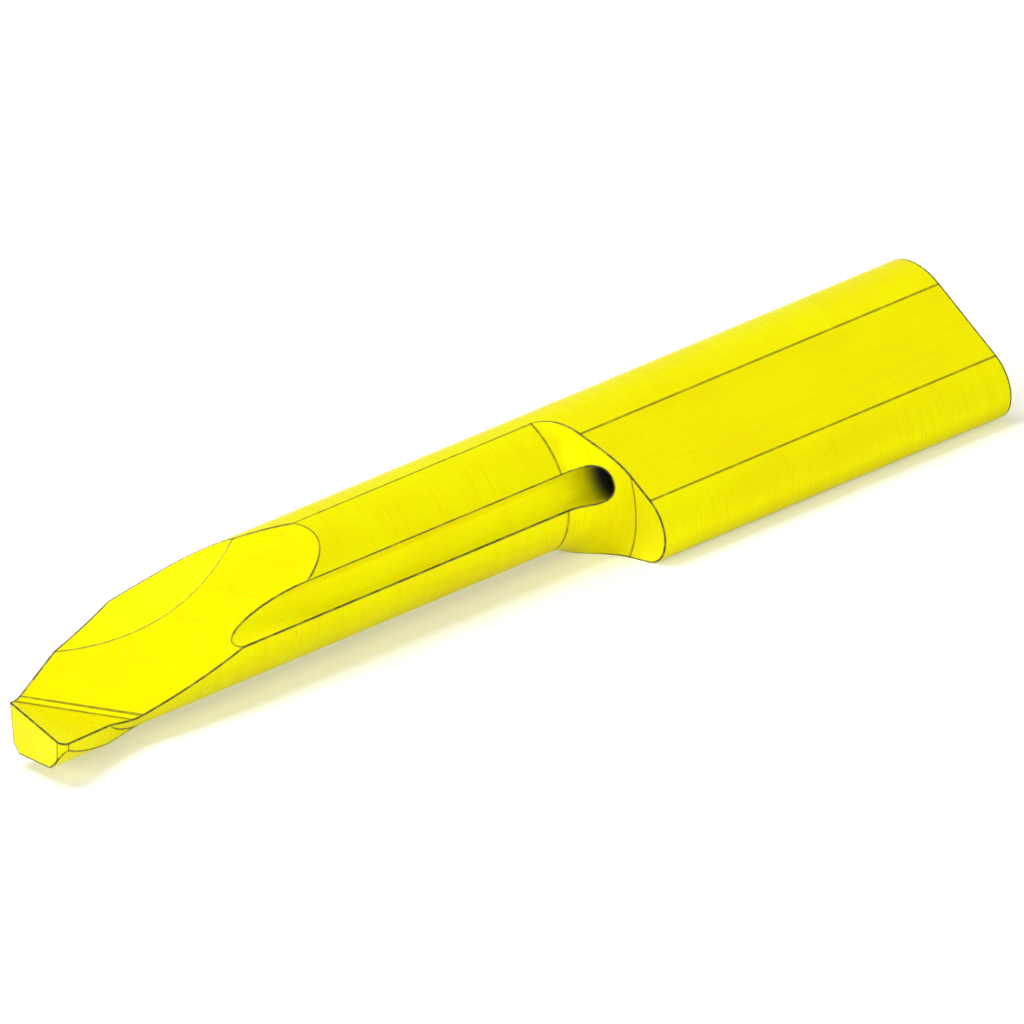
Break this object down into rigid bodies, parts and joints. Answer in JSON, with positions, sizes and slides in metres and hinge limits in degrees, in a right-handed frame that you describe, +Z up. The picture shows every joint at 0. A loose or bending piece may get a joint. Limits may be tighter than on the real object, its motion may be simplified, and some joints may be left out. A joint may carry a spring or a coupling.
{
  "type": "boring bar",
  "caption": "Solid-carbide mini boring bar with a teardrop clamping shank, an offset round neck, a coolant groove and a ground cutting tip for small bores.",
  "frame": {"origin": "middle of the shank's lower clamping flat, which lies on Z = 0", "axes": "+X along the bar towards the cutting tip, +Z up, away from the lower flat, and +Y towards the narrow side of the shank, which is the side the tip cuts on"},
  "size_m": [0.044, 0.0085, 0.006],
  "materials": {
    "coated_carbide": "smooth hard coating, bright yellow, satin gloss"
  },
  "bodies": {
    "root": {"boring_bar": "coated_carbide"}
  },
  "joints": []
}
